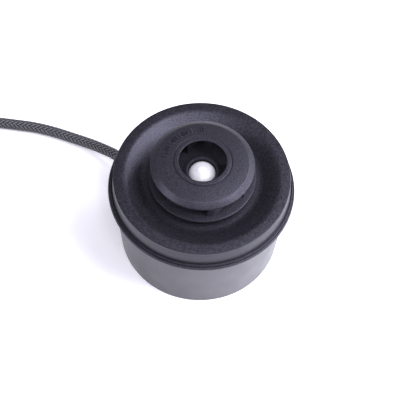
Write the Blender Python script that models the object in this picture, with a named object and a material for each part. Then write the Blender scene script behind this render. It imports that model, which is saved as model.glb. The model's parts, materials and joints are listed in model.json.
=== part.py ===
"""Motor-driven centrifugal fan unit: a round can, a dished cover and a closed impeller on top.

Every driving size is in millimetres, heights are counted from the flat base, and the rotor turns
about the Z axis. Pieces that touch in the real assembly keep CLEAR between them.
"""

import math

import bmesh
import bpy
from mathutils import Matrix, Vector

MM = 0.001
CLEAR = 0.3
ROUND = 40
SMALL_ROUND = 20
TINY = 1e-6

# Cover: the rim radius sets the scale of the whole unit.
RIM_R = 45.0
RIM_Z = 58.4
EDGE_R = 0.8
FLAT_INNER_R = 40.6
SHOULDER_R = 2.9
SLOPE = math.radians(38.0)
TROUGH_Z = 53.9
FLOOR_WALL = 2.4
COVER_FLANGE_R = 47.1
COVER_FLANGE_Z = (48.1, 48.8)
SPIGOT_R = (40.2, 42.7)
SPIGOT_END_Z = 43.5
RING_GROOVE_Z = (45.1, 46.9)
RING_GROOVE_R = 41.1

# Can
BASE_R = 44.06
BASE_EDGE_R = 1.2
CAN_TOP_R = 45.34
CAN_FLANGE_R = 48.2
CAN_FLANGE_Z = (46.9, 48.9)
CAN_INNER_R = 43.0
CAN_FLOOR_Z = 3.0
BASE_RECESS = (31.0, 0.8)

# Tie posts hang from the cover, and one screw comes up into each through the can's floor.
POST_COUNT = 4
POST_FIRST_AZIMUTH = 4.0
POST_CIRCLE_R = 36.6
POST_R = 3.2
POST_TOP_Z = 54.3
PILOT_DEPTH = 14.0
SCREW_R = 1.5
SCREW_HEAD = (2.9, 0.25, 1.3)

# Shaft and its two ball bearings, in a tube that hangs from the cover.
SHAFT_R = 2.5
SHAFT_Z = (16.5, 61.4)
BEARING_R = 8.0
BEARING_HEIGHT = 5.0
BEARING_BOTTOMS = {"lower": 24.8, "upper": 44.8}
TUBE_R = (BEARING_R + CLEAR, 10.5)
TUBE_END_Z = 24.0
SHAFT_HOLE_R = 3.2
SEAL_R = 5.7
SEAL_POCKET_Z = 51.6
TUBE_CEILING_Z = 50.8

# Motor: wound stator on the tube, magnets in a bell round it.
TEETH = 9
STATOR_Z = (26.0, 41.0)
YOKE_R = 14.4
TOOTH_HALF = 2.0
TOOTH_TIP_R = (23.9, 25.6)
TIP_ANGLE = math.radians(16.0)
COIL_R = (15.2, 23.3)
COIL_THICK = 2.3
MAGNET_R = (26.2, 28.3)
MAGNET_Z = (22.5, 44.0)
BELL_R = 30.0
BELL_Z = (19.2, 45.0)
BELL_HUB = (6.0, 18.2, 24.2)

# Control board under the bell
BOARD_R = 32.5
BOARD_Z = (7.6, 9.2)
BOARD_SCREW_CIRCLE_R = 27.0
BOARD_SCREW_AZIMUTHS = (56.0, 176.0, 296.0)
BOARD_SCREW_R = 1.1

# Impeller
DISC_R = 27.3
DISC_Z = (57.0, 58.6)
HUB_R = 8.06
HUB_TOP_Z = 62.1
POCKET_FLOOR_Z = 57.0
CAP_R = 6.9
CAP_EQUATOR_Z = 58.9
CAP_TOP_Z = 63.2
CAP_WALL = 0.9
VANES = 7
VANE_TIP_AZIMUTH = -87.0
VANE_R = (13.9, 24.6)
VANE_SWEEP = 52.0
VANE_THICK = 1.5
SHROUD_R = 26.2
SHROUD_EDGE_Z = (67.15, 68.07)
SHROUD_BEVEL = (23.0, 70.0)
EYE_LIP = (14.2, 71.25)
EYE_R = 11.95

# Lead: a braided sleeve over the wires, which leaves the can near its base at the back.
LEAD_R = 3.25
LEAD_AZIMUTH = 141.0
LEAD_EXIT_Z = 8.7
GLAND_OUTER_RHO = 60.0
GLAND_INNER_RHO = 38.6
LEAD_ROUTE = (
    (-46.86, 37.95, 8.70),
    (-48.42, 39.21, 8.70),
    (-52.80, 42.50, 7.75),
    (-61.90, 47.90, 5.60),
    (-69.50, 51.50, 4.25),
    (-78.50, 54.90, 3.45),
    (-90.00, 58.55, 3.25),
    (-102.50, 61.25, 3.25),
    (-115.50, 62.60, 3.25),
    (-129.00, 63.70, 3.25),
    (-141.60, 64.60, 3.25),
)
COIL_CENTRE = (-165.0, 26.0)
COIL_RING = (29.0, 42.25)
TAIL_BEND_R = 20.0
TAIL_BEND_CENTRE = (-175.3, 29.35)
TAIL_AZIMUTHS = (236.0, 300.0)
TAIL_STRAIGHT = 1.5
SLEEVE_END_LENGTH = 8.0
CONNECTOR_SIZE = (15.0, 9.0, 6.9)


# ---------------------------------------------------------------- materials


def finish(name, colour, roughness, metallic=0.0, coat=0.0):
    look = bpy.data.materials.new(name)
    look.use_nodes = True
    shader = look.node_tree.nodes["Principled BSDF"]
    shader.inputs["Base Color"].default_value = (*colour, 1.0)
    shader.inputs["Roughness"].default_value = roughness
    shader.inputs["Metallic"].default_value = metallic
    shader.inputs["Coat Weight"].default_value = coat
    return look


def black_plastic(name, roughness=0.45):
    return finish(name, (0.022, 0.021, 0.025), roughness)


def white_gloss(name):
    return finish(name, (0.85, 0.85, 0.83), 0.12, coat=0.5)


def steel(name):
    return finish(name, (0.55, 0.55, 0.56), 0.28, metallic=1.0)


def brass(name):
    return finish(name, (0.72, 0.53, 0.25), 0.3, metallic=1.0)


def rubber(name):
    return finish(name, (0.03, 0.03, 0.03), 0.7)


def copper_wire(name):
    return finish(name, (0.62, 0.25, 0.12), 0.35, metallic=1.0)


def board_green(name):
    return finish(name, (0.03, 0.16, 0.07), 0.5)


# ---------------------------------------------------------------- modelling helpers


def add_object(name, mesh, look, smooth=True):
    mesh.materials.append(look)
    if smooth:
        mesh.shade_smooth()
        mesh.set_sharp_from_angle(angle=math.radians(32.0))
    piece = bpy.data.objects.new(name, mesh)
    bpy.context.scene.collection.objects.link(piece)
    return piece


def close_mesh(name, bm):
    """Faces turned outwards, written to a new mesh."""
    bmesh.ops.recalc_face_normals(bm, faces=bm.faces)
    if bm.calc_volume(signed=True) < 0.0:
        bmesh.ops.reverse_faces(bm, faces=bm.faces)
    mesh = bpy.data.meshes.new(name)
    bm.to_mesh(mesh)
    bm.free()
    return mesh


def turned_mesh(name, outline, segments):
    """A solid of revolution about Z from a closed outline of (radius, height) in millimetres."""
    bm = bmesh.new()
    rings = []
    for radius, height in outline:
        if radius < TINY:
            rings.append([bm.verts.new((0.0, 0.0, height * MM))])
            continue
        ring = []
        for step in range(segments):
            angle = math.tau * step / segments
            ring.append(bm.verts.new(polar(radius, angle, height)))
        rings.append(ring)
    for ring, following in zip(rings, rings[1:] + rings[:1]):
        for step in range(segments):
            after = (step + 1) % segments
            corners = (
                ring[step % len(ring)],
                ring[after % len(ring)],
                following[after % len(following)],
                following[step % len(following)],
            )
            distinct = list(dict.fromkeys(corners))
            if len(distinct) > 2:
                bm.faces.new(distinct)
    return close_mesh(name, bm)


def polar(radius, angle, height):
    """A point in metres from a radius and a height in millimetres and an angle in radians."""
    return Vector((radius * math.cos(angle), radius * math.sin(angle), height)) * MM


def turned(name, outline, look, segments=ROUND):
    return add_object(name, turned_mesh(name, outline, segments), look)


def arc(centre, radius, start, end, steps):
    """Points of an arc in the (radius, height) plane, angles in degrees."""
    points = []
    for step in range(steps + 1):
        angle = math.radians(start + (end - start) * step / steps)
        points.append((centre[0] + radius * math.cos(angle), centre[1] + radius * math.sin(angle)))
    return points


def tube_outline(inner, outer, low, high, edge=0.0):
    """A ring with a square or chamfered section."""
    if edge == 0.0:
        return [(inner, low), (outer, low), (outer, high), (inner, high)]
    return [
        (inner + edge, low),
        (outer - edge, low),
        (outer, low + edge),
        (outer, high - edge),
        (outer - edge, high),
        (inner + edge, high),
        (inner, high - edge),
        (inner, low + edge),
    ]


def block_mesh(name, size, edge):
    """A box about its own centre with all edges chamfered."""
    bm = bmesh.new()
    bmesh.ops.create_cube(bm, size=1.0)
    bmesh.ops.scale(bm, vec=Vector(size) * MM, verts=bm.verts)
    if edge > 0.0:
        bmesh.ops.bevel(bm, geom=bm.edges[:], offset=edge * MM, segments=1, affect="EDGES")
    return close_mesh(name, bm)


def block(name, size, centre, azimuth, look, edge=0.0):
    piece = add_object(name, block_mesh(name, size, edge), look, smooth=False)
    piece.location = Vector(centre) * MM
    piece.rotation_euler = (0.0, 0.0, math.radians(azimuth))
    return piece


def prism(name, outline, low, high, look):
    """An upright prism over a closed outline of (x, y) in millimetres."""
    bm = bmesh.new()
    floor = [bm.verts.new(Vector((x, y, low)) * MM) for x, y in outline]
    roof = [bm.verts.new(Vector((x, y, high)) * MM) for x, y in outline]
    bm.faces.new(floor)
    bm.faces.new(roof)
    for index in range(len(outline)):
        after = (index + 1) % len(outline)
        bm.faces.new((floor[index], floor[after], roof[after], roof[index]))
    return add_object(name, close_mesh(name, bm), look)


def tube_along(name, points, radius, look, sides=2):
    """A round cord or wire with filled ends along points in millimetres."""
    curve = bpy.data.curves.new(name, "CURVE")
    curve.dimensions = "3D"
    curve.bevel_depth = radius * MM
    curve.bevel_resolution = sides
    curve.use_fill_caps = True
    spline = curve.splines.new("POLY")
    spline.points.add(len(points) - 1)
    for target, point in zip(spline.points, points):
        target.co = (*(Vector(point) * MM), 1.0)
    curve.materials.append(look)
    piece = bpy.data.objects.new(name, curve)
    bpy.context.scene.collection.objects.link(piece)
    return piece


def smooth_route(route, spacing):
    """Points about spacing apart on a centripetal curve through the route's own points."""
    knots = [Vector(point) for point in route]
    padded = [knots[0] * 2 - knots[1], *knots, knots[-1] * 2 - knots[-2]]
    points = [knots[0]]
    for index in range(1, len(padded) - 2):
        a, b, c, d = padded[index - 1 : index + 3]
        steps = max(1, round((c - b).length / spacing))
        for step in range(1, steps + 1):
            points.append(catmull_rom(a, b, c, d, step / steps))
    return points


def catmull_rom(a, b, c, d, t):
    """The centripetal curve between b and c."""
    times = [0.0]
    for start, end in ((a, b), (b, c), (c, d)):
        times.append(times[-1] + math.sqrt((end - start).length))
    at = times[1] + (times[2] - times[1]) * t

    def mix(start, end, first, last):
        share = (at - times[first]) / (times[last] - times[first])
        return start.lerp(end, share)

    first = mix(a, b, 0, 1)
    middle = mix(b, c, 1, 2)
    last = mix(c, d, 2, 3)
    return mix(mix(first, middle, 0, 2), mix(middle, last, 1, 3), 1, 2)


def hide_tool(tool):
    tool.hide_render = True
    tool.display_type = "WIRE"


def combine(piece, tool, operation):
    """A Boolean with a hidden tool object."""
    hide_tool(tool)
    boolean = piece.modifiers.new(tool.name, "BOOLEAN")
    boolean.operation = operation
    boolean.object = tool
    boolean.solver = "EXACT"


def place_on_circle(piece, radius, azimuth):
    piece.location = polar(radius, math.radians(azimuth), 0.0)


def point_outwards(piece, azimuth, height):
    """Lays a piece that was turned about Z along a horizontal ray from the Z axis."""
    piece.location = (0.0, 0.0, height * MM)
    piece.rotation_euler = (0.0, math.radians(90.0), math.radians(azimuth))


# ---------------------------------------------------------------- housing


def dish_arcs():
    """The cover's top from the trough floor up to its flat ring: a hollow arc, then a shoulder."""
    drop = SHOULDER_R * (1.0 - math.cos(SLOPE))
    hollow_r = (RIM_Z - drop - TROUGH_Z) / (1.0 - math.cos(SLOPE))
    start_r = FLAT_INNER_R - (SHOULDER_R + hollow_r) * math.sin(SLOPE)
    turn = math.degrees(SLOPE)
    hollow = arc((start_r, TROUGH_Z + hollow_r), hollow_r, -90.0, -90.0 + turn, 4)
    shoulder = arc((FLAT_INNER_R, RIM_Z - SHOULDER_R), SHOULDER_R, 90.0 + turn, 90.0, 2)
    return hollow + shoulder[1:]


def cover_outline():
    low, high = COVER_FLANGE_Z
    top = [(SHAFT_HOLE_R, SEAL_POCKET_Z), (SEAL_R + CLEAR, SEAL_POCKET_Z), (SEAL_R + CLEAR, TROUGH_Z)]
    top += dish_arcs()
    top += arc((RIM_R - EDGE_R, RIM_Z - EDGE_R), EDGE_R, 90.0, 0.0, 2)
    fillet = arc((RIM_R + 0.9, high + 1.1), 0.9, 180.0, 270.0, 2)
    ridge = [(46.35, high + 0.35), (46.75, high + 0.3), (COVER_FLANGE_R, high), (COVER_FLANGE_R, low)]
    spigot = [
        (SPIGOT_R[1], low),
        (SPIGOT_R[1], RING_GROOVE_Z[1]),
        (RING_GROOVE_R, RING_GROOVE_Z[1]),
        (RING_GROOVE_R, RING_GROOVE_Z[0]),
        (SPIGOT_R[1], RING_GROOVE_Z[0]),
        (SPIGOT_R[1], SPIGOT_END_Z),
        (SPIGOT_R[0], SPIGOT_END_Z),
    ]
    under_z = TROUGH_Z - FLOOR_WALL
    roof_z = RIM_Z - FLOOR_WALL
    underside = [
        (SPIGOT_R[0], 49.0),
        (SPIGOT_R[1] - 0.1, 50.2),
        (SPIGOT_R[1] - 0.1, roof_z),
        (39.6, roof_z),
        (36.0, 52.9),
        (30.0, under_z),
        (TUBE_R[1], under_z),
    ]
    tube = [
        (TUBE_R[1], TUBE_END_Z),
        (TUBE_R[0], TUBE_END_Z),
        (TUBE_R[0], TUBE_CEILING_Z),
        (SHAFT_HOLE_R, TUBE_CEILING_Z),
    ]
    return top + fillet + ridge + spigot + underside + tube


def post_outline():
    """A tie post with a blind pilot hole that opens at its foot."""
    foot_z = CAN_FLOOR_Z + CLEAR
    pilot_r = SCREW_R + CLEAR
    return [
        (pilot_r, foot_z),
        (POST_R, foot_z),
        (POST_R, POST_TOP_Z),
        (0.0, POST_TOP_Z),
        (0.0, foot_z + PILOT_DEPTH),
        (pilot_r, foot_z + PILOT_DEPTH - 0.6),
    ]


def post_azimuths():
    return [POST_FIRST_AZIMUTH + 360.0 * index / POST_COUNT for index in range(POST_COUNT)]


def make_cover():
    cover = turned("top_cover", cover_outline(), black_plastic("cover_plastic"))
    for index, azimuth in enumerate(post_azimuths(), start=1):
        post = turned(f"post_tool_{index}", post_outline(), black_plastic("post_plastic"), 12)
        place_on_circle(post, POST_CIRCLE_R, azimuth)
        combine(cover, post, "UNION")
    return cover


def can_outline():
    recess_r, recess_z = BASE_RECESS
    low, high = CAN_FLANGE_Z
    outside = [(0.0, recess_z), (recess_r - 0.8, recess_z), (recess_r, 0.0)]
    outside += arc((BASE_R - BASE_EDGE_R, BASE_EDGE_R), BASE_EDGE_R, -90.0, 0.0, 2)
    flange = [
        (CAN_TOP_R, low),
        (CAN_FLANGE_R - 0.3, low),
        (CAN_FLANGE_R, low + 0.3),
        (CAN_FLANGE_R, high - 0.4),
        (CAN_FLANGE_R - 0.3, high),
        (COVER_FLANGE_R + CLEAR + 0.1, high),
        (COVER_FLANGE_R + CLEAR, high - 0.2),
        (COVER_FLANGE_R + CLEAR, COVER_FLANGE_Z[0] - CLEAR),
    ]
    inside = [
        (CAN_INNER_R, COVER_FLANGE_Z[0] - CLEAR),
        (CAN_INNER_R, SPIGOT_END_Z - 1.0),
        (BASE_R - 2.4, CAN_FLOOR_Z + 0.8),
        (BASE_R - 3.2, CAN_FLOOR_Z),
        (0.0, CAN_FLOOR_Z),
    ]
    return outside + flange + inside


def make_can():
    can = turned("motor_can", can_outline(), black_plastic("can_plastic", 0.35))
    add_board_bosses(can)
    cut_screw_pockets(can)
    bore = turned("gland_hole_tool", tube_hole(4.5, 36.0, 54.0), black_plastic("hole"), 16)
    point_outwards(bore, LEAD_AZIMUTH, LEAD_EXIT_Z)
    combine(can, bore, "DIFFERENCE")
    return can


def tube_hole(radius, low, high):
    """A plain pin, used as a cutter."""
    return [(0.0, low), (radius, low), (radius, high), (0.0, high)]


def add_board_bosses(can):
    top_z = BOARD_Z[0] - CLEAR
    pilot_r = BOARD_SCREW_R + CLEAR
    outline = [
        (0.0, CAN_FLOOR_Z - 0.5),
        (3.0, CAN_FLOOR_Z - 0.5),
        (3.0, top_z),
        (pilot_r, top_z),
        (pilot_r, CAN_FLOOR_Z + 0.7),
        (0.0, CAN_FLOOR_Z + 0.4),
    ]
    for index, azimuth in enumerate(BOARD_SCREW_AZIMUTHS, start=1):
        boss = turned(f"boss_tool_{index}", outline, black_plastic("boss_plastic"), 12)
        place_on_circle(boss, BOARD_SCREW_CIRCLE_R, azimuth)
        combine(can, boss, "UNION")


def cut_screw_pockets(can):
    head_r, _, head_top = SCREW_HEAD
    outline = [
        (0.0, -1.0),
        (head_r + CLEAR, -1.0),
        (head_r + CLEAR, head_top + CLEAR),
        (SCREW_R + CLEAR, head_top + CLEAR),
        (SCREW_R + CLEAR, CAN_FLOOR_Z + 1.0),
        (0.0, CAN_FLOOR_Z + 1.0),
    ]
    for index, azimuth in enumerate(post_azimuths(), start=1):
        pocket = turned(f"pocket_tool_{index}", outline, black_plastic("pocket"), 16)
        place_on_circle(pocket, POST_CIRCLE_R, azimuth)
        combine(can, pocket, "DIFFERENCE")


def make_base_screws():
    head_r, head_low, head_top = SCREW_HEAD
    outline = [
        (0.0, head_low + 0.6),
        (1.3, head_low + 0.6),
        (1.5, head_low),
        (head_r - 0.2, head_low),
        (head_r, head_low + 0.2),
        (head_r, head_top),
        (SCREW_R, head_top),
        (SCREW_R, CAN_FLOOR_Z + PILOT_DEPTH - 3.0),
        (0.0, CAN_FLOOR_Z + PILOT_DEPTH - 1.8),
    ]
    screws = []
    for index, azimuth in enumerate(post_azimuths(), start=1):
        screw = turned(f"base_screw_{index}", outline, steel(f"base_screw_steel_{index}"), 12)
        place_on_circle(screw, POST_CIRCLE_R, azimuth)
        screws.append(screw)
    return screws


def make_seals():
    ring_r = (SPIGOT_R[1] - RING_GROOVE_R) / 2 - 0.18
    centre = (RING_GROOVE_R + CLEAR + ring_r, sum(RING_GROOVE_Z) / 2)
    circle = arc(centre, ring_r, 0.0, 360.0, 5)[:-1]
    o_ring = turned("cover_o_ring", circle, rubber("o_ring_rubber"))
    lip = [
        (SHAFT_R + 0.35, 53.0),
        (SEAL_R - 1.6, SEAL_POCKET_Z + CLEAR),
        (SEAL_R, SEAL_POCKET_Z + CLEAR),
        (SEAL_R, TROUGH_Z - 0.2),
        (SEAL_R - 1.8, TROUGH_Z - 0.2),
        (SHAFT_R + 0.35, 53.5),
    ]
    seal = turned("shaft_seal", lip, rubber("seal_rubber"), SMALL_ROUND)
    return [o_ring, seal]


# ---------------------------------------------------------------- bearings and shaft


def make_bearing_outers():
    rings = []
    for place, low in BEARING_BOTTOMS.items():
        outline = tube_outline(6.6, BEARING_R, low, low + BEARING_HEIGHT)
        name = f"{place}_bearing_outer"
        rings.append(turned(name, outline, steel(f"{name}_steel"), SMALL_ROUND))
    washer_z = BEARING_BOTTOMS["upper"] + BEARING_HEIGHT + CLEAR
    outline = tube_outline(6.3, BEARING_R, washer_z, washer_z + 0.4)
    rings.append(turned("preload_washer", outline, steel("washer_steel"), SMALL_ROUND))
    return rings


def make_shaft_set():
    low, high = SHAFT_Z
    outline = [
        (0.0, low),
        (SHAFT_R - 0.4, low),
        (SHAFT_R, low + 0.4),
        (SHAFT_R, high - 0.4),
        (SHAFT_R - 0.4, high),
        (0.0, high),
    ]
    pieces = [turned("motor_shaft", outline, steel("shaft_steel"), SMALL_ROUND)]
    bore_r = SHAFT_R + CLEAR
    for place, bottom in BEARING_BOTTOMS.items():
        ring = tube_outline(bore_r, 4.2, bottom, bottom + BEARING_HEIGHT)
        name = f"{place}_bearing_inner"
        pieces.append(turned(name, ring, steel(f"{name}_steel"), SMALL_ROUND))
    spacer_low = BEARING_BOTTOMS["lower"] + BEARING_HEIGHT + CLEAR
    spacer = tube_outline(bore_r, 3.8, spacer_low, BEARING_BOTTOMS["upper"] - CLEAR)
    pieces.append(turned("bearing_spacer", spacer, brass("spacer_brass"), SMALL_ROUND))
    clip = tube_outline(bore_r, 4.6, BELL_HUB[1] - 0.9, BELL_HUB[1] - CLEAR)
    pieces.append(turned("retaining_clip", clip, steel("clip_steel"), SMALL_ROUND))
    return pieces


# ---------------------------------------------------------------- motor


def tooth_outline(middle):
    """One stator tooth and half of the slot on each side, as points along the core's outside."""
    points = []
    root = math.asin(TOOTH_HALF / YOKE_R)
    neck = math.asin(TOOTH_HALF / TOOTH_TIP_R[0])
    for radius, angle in (
        (YOKE_R, -root),
        (TOOTH_TIP_R[0], -neck),
        (TOOTH_TIP_R[0] + 0.7, -TIP_ANGLE),
        (TOOTH_TIP_R[1], -TIP_ANGLE),
        (TOOTH_TIP_R[1], 0.0),
        (TOOTH_TIP_R[1], TIP_ANGLE),
        (TOOTH_TIP_R[0] + 0.7, TIP_ANGLE),
        (TOOTH_TIP_R[0], neck),
        (YOKE_R, root),
    ):
        at = middle + angle
        points.append((radius * math.cos(at), radius * math.sin(at)))
    return points


def make_stator():
    outline = []
    for index in range(TEETH):
        outline += tooth_outline(math.tau * index / TEETH)
    core = prism("stator_core", outline, *STATOR_Z, steel("lamination_steel"))
    bore = tube_hole(TUBE_R[1] + CLEAR, STATOR_Z[0] - 1.0, STATOR_Z[1] + 1.0)
    combine(core, turned("stator_bore_tool", bore, steel("bore"), SMALL_ROUND), "DIFFERENCE")
    return core


def winding_mesh(name):
    """A rectangular winding round a tooth that points along +X, with chamfered outer corners."""
    low, high = STATOR_Z
    middle = (low + high) / 2
    inner = (TOOTH_HALF + CLEAR, (high - low) / 2 + CLEAR)
    outer = (inner[0] + COIL_THICK, inner[1] + COIL_THICK)
    cut = 1.2
    inner_corners = [
        (-inner[0], -inner[1]),
        (inner[0], -inner[1]),
        (inner[0], inner[1]),
        (-inner[0], inner[1]),
    ]
    outer_corners = [
        (-outer[0] + cut, -outer[1]),
        (outer[0] - cut, -outer[1]),
        (outer[0], -outer[1] + cut),
        (outer[0], outer[1] - cut),
        (outer[0] - cut, outer[1]),
        (-outer[0] + cut, outer[1]),
        (-outer[0], outer[1] - cut),
        (-outer[0], -outer[1] + cut),
    ]
    bm = bmesh.new()
    ends = []
    for x in COIL_R:
        hole = [bm.verts.new(Vector((x, y, middle + z)) * MM) for y, z in inner_corners]
        rim = [bm.verts.new(Vector((x, y, middle + z)) * MM) for y, z in outer_corners]
        for index in range(4):
            after = (index + 1) % 4
            bm.faces.new((hole[index], hole[after], rim[(2 * index + 1)], rim[2 * index]))
            bm.faces.new((hole[after], rim[(2 * index + 2) % 8], rim[2 * index + 1]))
        ends.append((hole, rim))
    for near, far in zip(*ends):
        for index in range(len(near)):
            after = (index + 1) % len(near)
            bm.faces.new((near[index], near[after], far[after], far[index]))
    return close_mesh(name, bm)


def make_windings():
    windings = []
    for index in range(TEETH):
        name = f"winding_{index + 1}"
        winding = add_object(name, winding_mesh(name), copper_wire(f"{name}_copper"), smooth=False)
        winding.rotation_euler = (0.0, 0.0, math.tau * index / TEETH)
        windings.append(winding)
    return windings


def make_rotor_bell():
    low, high = BELL_Z
    hub_r, hub_low, hub_high = BELL_HUB
    bore_r = SHAFT_R + CLEAR
    wall_r = MAGNET_R[1] + CLEAR
    outline = [
        (bore_r, hub_low),
        (hub_r, hub_low),
        (hub_r, low),
        (BELL_R - 1.5, low),
        (BELL_R, low + 1.5),
        (BELL_R, high),
        (wall_r, high),
        (wall_r, low + 2.6),
        (wall_r - 1.0, low + 1.6),
        (hub_r, low + 1.6),
        (hub_r, hub_high),
        (bore_r, hub_high),
    ]
    bell = turned("rotor_bell", outline, steel("bell_steel"))
    look = finish("ferrite", (0.05, 0.05, 0.05), 0.5)
    magnet = turned("magnet_ring", tube_outline(*MAGNET_R, *MAGNET_Z), look)
    return [bell, magnet]


# ---------------------------------------------------------------- control board and wiring


def on_board(radius, azimuth, height):
    """A centre for a component that stands height tall on the board."""
    x, y, _ = polar(radius, math.radians(azimuth), 0.0) / MM
    return (x, y, BOARD_Z[1] + CLEAR + height / 2)


def make_board():
    edge = [polar(BOARD_R, math.tau * step / ROUND, 0.0) / MM for step in range(ROUND)]
    outline = [(point.x, point.y) for point in edge]
    board = prism("control_board", outline, *BOARD_Z, board_green("board_laminate"))
    hole = tube_hole(BOARD_SCREW_R + CLEAR, BOARD_Z[0] - 1.0, BOARD_Z[1] + 1.0)
    head_z = BOARD_Z[1] + CLEAR
    screw = [
        (0.0, CAN_FLOOR_Z + 1.2),
        (BOARD_SCREW_R, CAN_FLOOR_Z + 1.8),
        (BOARD_SCREW_R, head_z),
        (2.2, head_z),
        (2.2, head_z + 0.9),
        (1.6, head_z + 1.3),
        (0.0, head_z + 1.3),
    ]
    pieces = [board]
    for index, azimuth in enumerate(BOARD_SCREW_AZIMUTHS, start=1):
        tool = turned(f"board_hole_tool_{index}", hole, board_green("hole"), 12)
        place_on_circle(tool, BOARD_SCREW_CIRCLE_R, azimuth)
        combine(board, tool, "DIFFERENCE")
        fixing = turned(f"board_screw_{index}", screw, steel(f"board_screw_steel_{index}"), 12)
        place_on_circle(fixing, BOARD_SCREW_CIRCLE_R, azimuth)
        pieces.append(fixing)
    return pieces


def make_components():
    epoxy = (0.02, 0.02, 0.02)
    chip_look = finish("chip_epoxy", epoxy, 0.5)
    chip_place = on_board(11.0, 20.0, 1.4)
    chip = block("driver_chip", (9.0, 9.0, 1.4), chip_place, 20.0, chip_look, 0.2)
    socket_look = finish("socket_nylon", (0.8, 0.78, 0.7), 0.45)
    socket_place = on_board(26.0, LEAD_AZIMUTH, 5.6)
    socket = block("lead_socket", (7.0, 10.0, 5.6), socket_place, LEAD_AZIMUTH, socket_look, 0.4)
    pieces = [chip, socket]
    for index, azimuth in enumerate((225.0, 255.0, 330.0), start=1):
        place = on_board(22.0, azimuth, 1.8)
        look = finish(f"transistor_epoxy_{index}", epoxy, 0.5)
        pieces.append(block(f"power_transistor_{index}", (5.0, 6.0, 1.8), place, azimuth, look, 0.2))
    low = BOARD_Z[1] + CLEAR
    can = [(0.0, low), (3.8, low), (4.0, low + 0.4), (4.0, low + 5.8), (3.5, low + 6.3), (0.0, low + 6.3)]
    aluminium = finish("capacitor_aluminium", (0.7, 0.7, 0.72), 0.35, metallic=1.0)
    capacitor = turned("filter_capacitor", can, aluminium, 16)
    place_on_circle(capacitor, 21.0, 85.0)
    pieces.append(capacitor)
    return pieces


def make_phase_leads():
    """Three wires from the top of the windings, over the bell's rim and down to the board's edge."""
    leads = []
    for index, azimuth in enumerate((20.0, 30.0, 40.0), start=1):
        angle = math.radians(azimuth)
        stations = (
            (20.0, 45.2),
            (24.0, 47.2),
            (30.0, 48.3),
            (35.0, 47.4),
            (37.2, 43.5),
            (37.4, 36.0),
            (37.4, 26.0),
            (37.2, 18.0),
            (35.6, 13.0),
            (31.0, 10.6),
        )
        route = [Vector(polar(radius, angle, height)) / MM for radius, height in stations]
        look = finish(f"phase_insulation_{index}", (0.45, 0.03, 0.02), 0.5)
        leads.append(tube_along(f"phase_lead_{index}", smooth_route(route, 5.0), 0.9, look, 1))
    return leads


# ---------------------------------------------------------------- impeller


def wheel_outline():
    bore_r = 4.2 + CLEAR
    low, high = DISC_Z
    return [
        (bore_r, 54.6),
        (HUB_R, 54.6),
        (HUB_R + 0.9, low),
        (DISC_R - 0.5, low),
        (DISC_R, low + 0.5),
        (DISC_R, high - 0.3),
        (DISC_R - 0.3, high),
        (VANE_R[1], high + 0.05),
        (14.0, 59.3),
        (10.4, 60.5),
        (8.6, 61.8),
        (HUB_R, HUB_TOP_Z),
        (CAP_R + CLEAR, HUB_TOP_Z),
        (CAP_R + CLEAR, POCKET_FLOOR_Z),
        (bore_r, POCKET_FLOOR_Z),
    ]


def vane_line(share):
    """Radius and azimuth in degrees of the vane's middle line, from its inner to its outer end."""
    inner, outer = VANE_R
    rise = outer - inner + 0.6
    radius = inner + rise * (1.2 * share - 0.2 * share * share)
    azimuth = VANE_SWEEP * (1.0 - share)
    return radius, azimuth


def vane_outline(tip_azimuth):
    steps = 7
    sides = ([], [])
    for step in range(steps + 1):
        here = [vane_line(min(1.0, max(0.0, (step + shift) / steps))) for shift in (-0.1, 0.0, 0.1)]
        before, at, after = [
            Vector(polar(radius, math.radians(tip_azimuth + azimuth), 0.0)) / MM for radius, azimuth in here
        ]
        across = (after - before).normalized().cross(Vector((0.0, 0.0, 1.0)))
        for side, sign in zip(sides, (1.0, -1.0)):
            edge = at + across * sign * VANE_THICK / 2
            reach = min(1.0, VANE_R[1] / edge.length)
            side.append((edge.x * reach, edge.y * reach))
    return sides[0] + sides[1][::-1]


def underside_z(radius):
    """Height of the shroud's underside, a shallow cone."""
    edge_z = SHROUD_EDGE_Z[0]
    return edge_z + (SHROUD_R - radius) * 0.13


def make_vane_tool(index):
    """A vane as a prism whose top follows the cone under the shroud."""
    outline = vane_outline(VANE_TIP_AZIMUTH + 360.0 * index / VANES + 6.0)
    vane = prism(f"vane_tool_{index + 1}", outline, DISC_Z[0] + 0.6, SHROUD_EDGE_Z[1], black_plastic("vane"))
    for vertex in vane.data.vertices:
        if vertex.co.z > DISC_Z[1] * MM:
            radius = vertex.co.xy.length / MM
            vertex.co.z = (underside_z(radius) - CLEAR) * MM
    return vane


def make_wheel():
    wheel = turned("impeller_wheel", wheel_outline(), black_plastic("wheel_plastic", 0.4))
    for index in range(VANES):
        combine(wheel, make_vane_tool(index), "UNION")
    return wheel


def make_shroud():
    bevel_r, bevel_z = SHROUD_BEVEL
    lip_r, lip_z = EYE_LIP
    outline = [
        (SHROUD_R, SHROUD_EDGE_Z[0]),
        (SHROUD_R, SHROUD_EDGE_Z[1]),
        (bevel_r, bevel_z),
        (lip_r + 0.8, lip_z - 0.15),
        (lip_r + 0.4, lip_z - 0.4),
        (lip_r, lip_z),
    ]
    outline += arc((EYE_R + 0.6, lip_z - 0.55), 0.6, 90.0, 180.0, 2)
    outline += arc((EYE_R + 1.9, underside_z(EYE_R + 1.9) + 1.9), 1.9, 180.0, 270.0, 2)
    outline.append((bevel_r, underside_z(bevel_r)))
    return turned("impeller_shroud", outline, black_plastic("shroud_plastic", 0.55))


def dome_arc(radius, rise, steps):
    """Half an ellipse, from its widest place up to the axis."""
    points = []
    for step in range(steps + 1):
        angle = math.pi / 2 * step / steps
        points.append((radius * math.cos(angle), CAP_EQUATOR_Z + rise * math.sin(angle)))
    return points


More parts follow.
